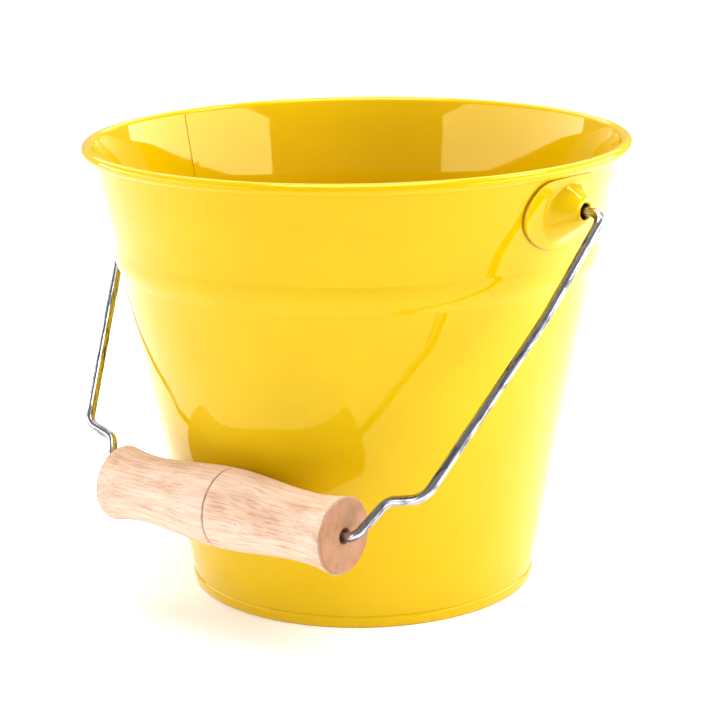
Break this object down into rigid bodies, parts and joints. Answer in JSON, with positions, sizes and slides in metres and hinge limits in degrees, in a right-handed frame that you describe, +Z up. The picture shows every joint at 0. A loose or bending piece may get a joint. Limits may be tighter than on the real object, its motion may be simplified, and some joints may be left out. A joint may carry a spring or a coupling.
{
  "type": "sand bucket",
  "caption": "Small tapered sheet-metal sand bucket with a rolled rim, a swaged ring, two stamped ears, a swinging wire bail and a turned wooden grip.",
  "frame": {"origin": "centre of the foot ring, on the surface that the bucket stands on", "axes": "+Z up along the bucket's axis; the ears stand on +X and -X; the bail hangs down on the -Y side"},
  "size_m": [0.1757, 0.1632, 0.1332],
  "materials": {
    "yellow_enamel": "high gloss",
    "zinc_wire": "bright zinc plate",
    "beech": "sanded, lightly sealed"
  },
  "bodies": {
    "bucket": {"bucket_wall": "yellow_enamel", "base_pan": "yellow_enamel", "ear_right": "yellow_enamel", "ear_left": "yellow_enamel"},
    "bail": {"bail_wire": "zinc_wire"},
    "grip": {"grip": "beech"}
  },
  "joints": [
    {"name": "bail_swing", "type": "hinge", "parent": "bucket", "child": "bail", "pos_m": [0, 0, 0.1202], "axis": [-1, 0, 0], "range_deg": [0, 276]},
    {"name": "grip_spin", "type": "hinge", "parent": "bail", "child": "grip", "pos_m": [0.0128, -0.07003, 0.03987], "axis": [0.9981, 0.061, 0], "continuous": true}
  ]
}
